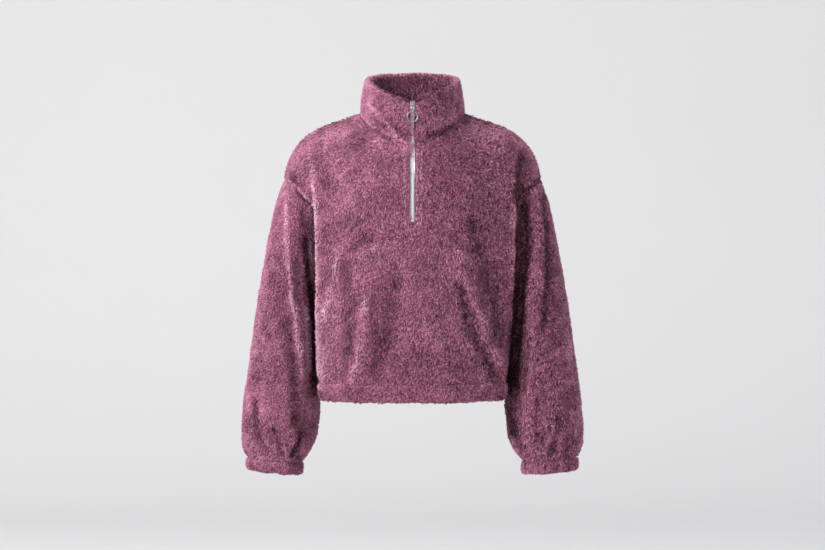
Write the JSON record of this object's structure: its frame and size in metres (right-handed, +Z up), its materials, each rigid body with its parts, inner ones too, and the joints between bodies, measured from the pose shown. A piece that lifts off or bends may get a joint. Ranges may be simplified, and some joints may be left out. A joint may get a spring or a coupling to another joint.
{
  "type": "fleece top",
  "caption": "Cropped high-pile fleece top with dropped shoulders, a zip from the stand-up collar to the chest, elastic hem and gathered elastic cuffs, hollow as if worn.",
  "frame": {"origin": "on the centre plane at the neck, level with the points where the collar seam meets the shoulder seams, where a neck, a form or a hanger holds the top", "axes": "+Z up, towards the collar; -Y is the front with the zip; +X is the wearer's left"},
  "size_m": [0.6224, 0.2483, 0.7209],
  "materials": {
    "fleece": "high-pile plum fleece",
    "zip_tape": "pale woven tape",
    "zip_teeth": "grey coil",
    "tack_thread": "crimson thread",
    "slider_metal": "plated"
  },
  "bodies": {
    "garment": {"front": "fleece", "back": "fleece", "sleeve_left": "fleece", "sleeve_right": "fleece", "collar": "fleece", "hem_casing": "fleece", "cuff_left": "fleece", "cuff_right": "fleece", "zip_tape_left": "zip_tape", "zip_tape_right": "zip_tape", "zip_teeth_left": "zip_teeth", "zip_teeth_right": "zip_teeth", "bar_tack": "tack_thread", "zip_slider": "slider_metal"},
    "link": {"pull_link": "slider_metal"},
    "ring": {"pull_ring": "slider_metal"}
  },
  "joints": [
    {"name": "link_hinge", "type": "hinge", "parent": "garment", "child": "link", "pos_m": [0, -0.09292, 0.0097], "axis": [1, 0, 0], "range_deg": [-110, 0]},
    {"name": "ring_hinge", "type": "hinge", "parent": "link", "child": "ring", "pos_m": [0, -0.09552, 0.002], "axis": [1, 0, 0], "range_deg": [-75, 0]}
  ]
}
